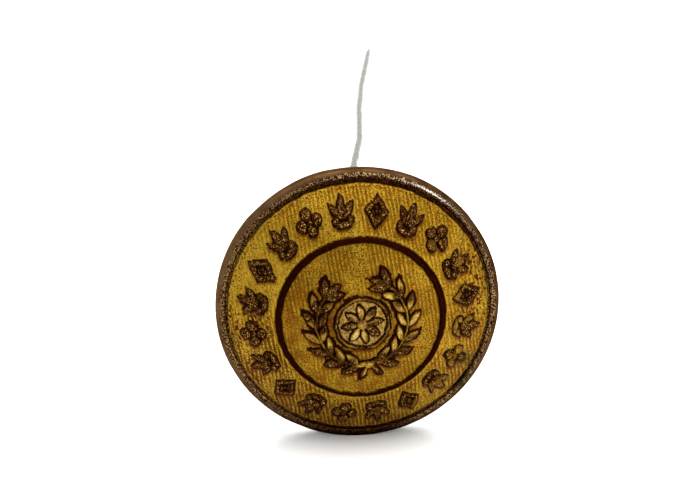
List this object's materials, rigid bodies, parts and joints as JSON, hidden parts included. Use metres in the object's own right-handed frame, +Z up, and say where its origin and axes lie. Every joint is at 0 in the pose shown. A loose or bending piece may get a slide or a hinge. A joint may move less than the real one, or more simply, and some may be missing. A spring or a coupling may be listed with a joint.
{
  "type": "police hat pin",
  "caption": "Hat pin whose head is a domed, gilt brass uniform button with raised ornament, fixed by a foot pad to a bent steel pin.",
  "frame": {"origin": "on the surface that the pin lies on, under the middle of its box", "axes": "+Y from the button's face back along the pin, +Z up, +X to the right of someone who looks at the face"},
  "size_m": [0.0241, 0.1224, 0.0238],
  "materials": {
    "gilt_brass": "worn gilding, dark brown on the raised parts and the rim",
    "back_brass": "dull, toned brown",
    "pin_steel": "bright drawn wire"
  },
  "bodies": {
    "root": {"button_face": "gilt_brass", "button_back": "back_brass", "pin_stem": "pin_steel"}
  },
  "joints": []
}
